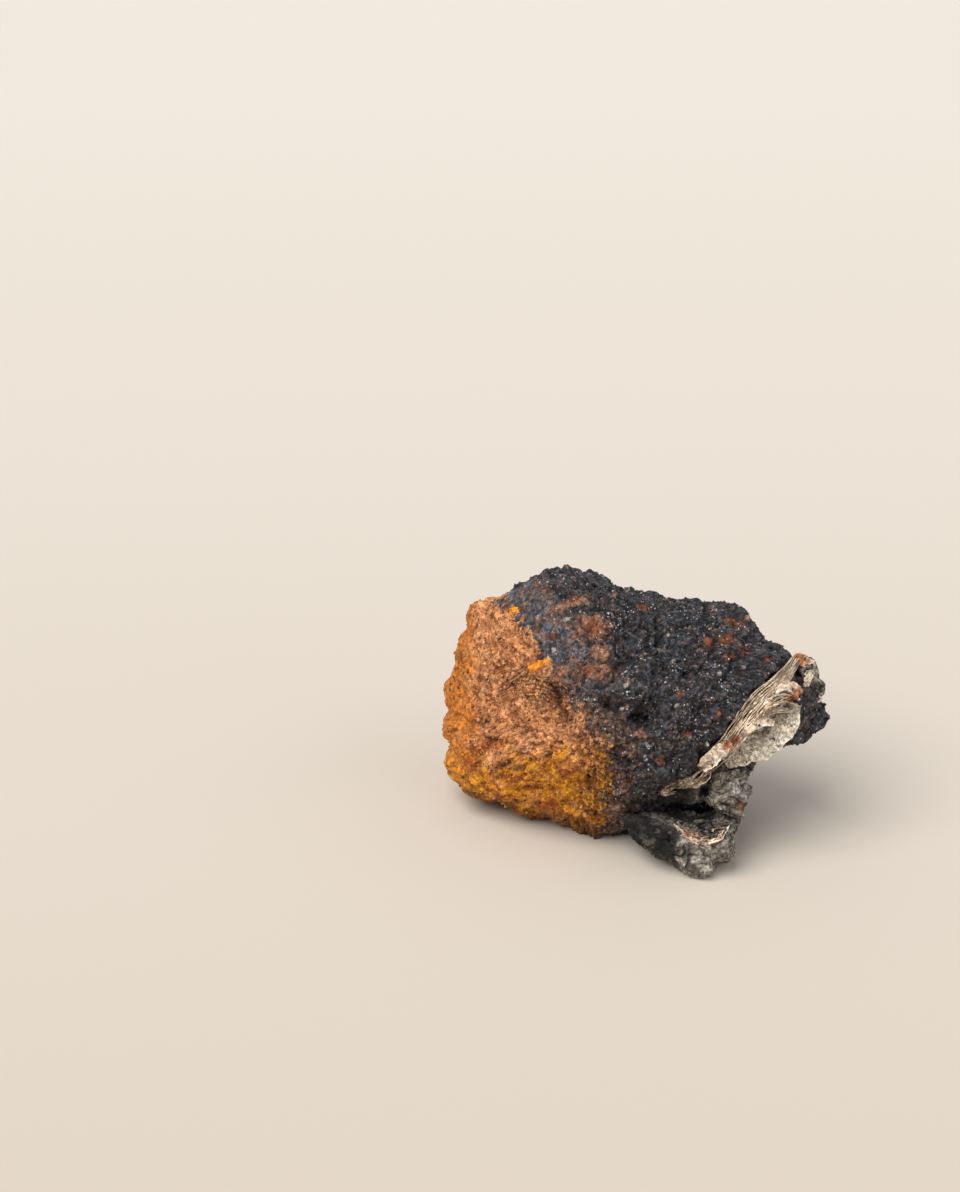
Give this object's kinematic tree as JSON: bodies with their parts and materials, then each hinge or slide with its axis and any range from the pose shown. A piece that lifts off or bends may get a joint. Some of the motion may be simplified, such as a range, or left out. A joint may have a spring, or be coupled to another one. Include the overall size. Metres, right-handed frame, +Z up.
{
  "type": "chaga mushroom",
  "caption": "Broken lump of chaga fungus: black cracked crust, rust-orange corky broken end, and layered birch bark clinging to its lower front. Rests on its flat cut.",
  "frame": {"origin": "on the surface that the lump rests on, below the middle of its box", "axes": "+X to the right along the lump, with the rust-coloured broken end at -X; -Y is the front with the bark; +Z up"},
  "size_m": [0.1144, 0.0841, 0.0741],
  "materials": {
    "chaga": "dry, granular, cracked black crust over a rust-orange corky inside",
    "bark_cream": "dry, papery, layered birch bark, cream to tan",
    "bark_grey": "weathered grey birch bark with lichen",
    "bark_dark": "rough, weathered, dark grey-brown bark"
  },
  "bodies": {
    "root": {"chaga_mass": "chaga", "bark_strip_upper": "bark_cream", "bark_flap_right": "bark_grey", "bark_hook_top": "bark_grey", "bark_slab_middle": "bark_grey", "bark_slab_lower": "bark_dark"}
  },
  "joints": []
}
